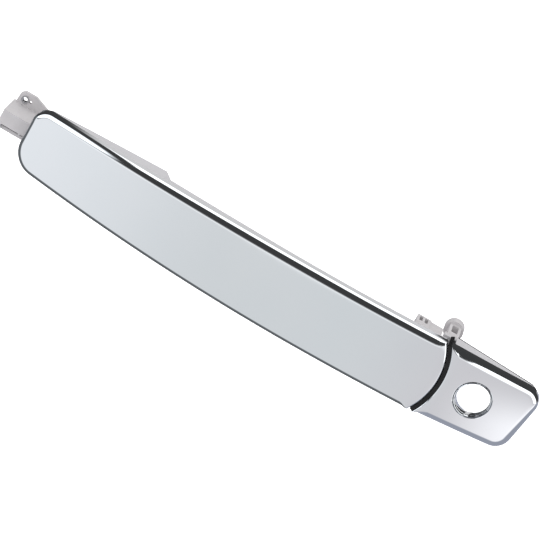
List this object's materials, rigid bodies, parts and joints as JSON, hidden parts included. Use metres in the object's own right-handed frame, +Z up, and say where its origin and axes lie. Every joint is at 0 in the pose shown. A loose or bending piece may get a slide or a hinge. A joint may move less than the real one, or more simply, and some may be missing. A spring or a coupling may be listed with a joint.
{
  "type": "car door handle",
  "caption": "Bowed chrome pull handle for a car door: a sprung grip hinged at its left end, with a fixed key-cylinder cap at its right end.",
  "frame": {"origin": "on the axis of the key-cylinder bore, at the plane of the door skin", "axes": "+X along the handle from the hinge to the key cap, -Y out of the door, +Z up"},
  "size_m": [0.2474, 0.0488, 0.033],
  "materials": {
    "chrome_plate": "mirror-bright decorative chrome on moulded covers",
    "satin_shell": "satin silver grey",
    "zinc": "fine-grained die casting",
    "steel": "zinc plated",
    "rubber": "smooth black",
    "nylon": "natural white",
    "foam": "closed-cell foam",
    "brass_insert": "turned"
  },
  "bodies": {
    "root": {"cap_cover": "chrome_plate", "cap_base": "satin_shell", "cap_gasket": "rubber", "cap_screws": "steel", "key_collar": "chrome_plate", "collar_washer": "steel", "gap_seal": "rubber", "cap_leg": "zinc", "cap_leg_screws": "steel", "leg_insert": "brass_insert", "hinge_bracket": "zinc", "bracket_eyelet": "steel", "hinge_pin": "steel", "pin_clip": "steel", "hinge_spring": "steel"},
    "grip": {"grip_cover": "chrome_plate", "grip_back": "satin_shell", "grip_stiffener": "steel", "foam_strip": "foam", "front_pad": "rubber", "rear_buffer": "rubber", "back_screws": "steel", "hinge_arm": "zinc", "hinge_arm_screws": "steel", "hinge_bush": "nylon", "pull_arm": "zinc", "pull_arm_screws": "steel", "pull_bush": "nylon"}
  },
  "joints": [
    {"name": "grip_swing", "type": "hinge", "parent": "root", "child": "grip", "pos_m": [-0.2161, 0.009, -0.0024], "axis": [0, 0, -1], "range_deg": [0, 10], "stiffness_Nm_per_rad": 0.4, "springref_deg": -20.05, "deforming": ["hinge_spring"]}
  ]
}
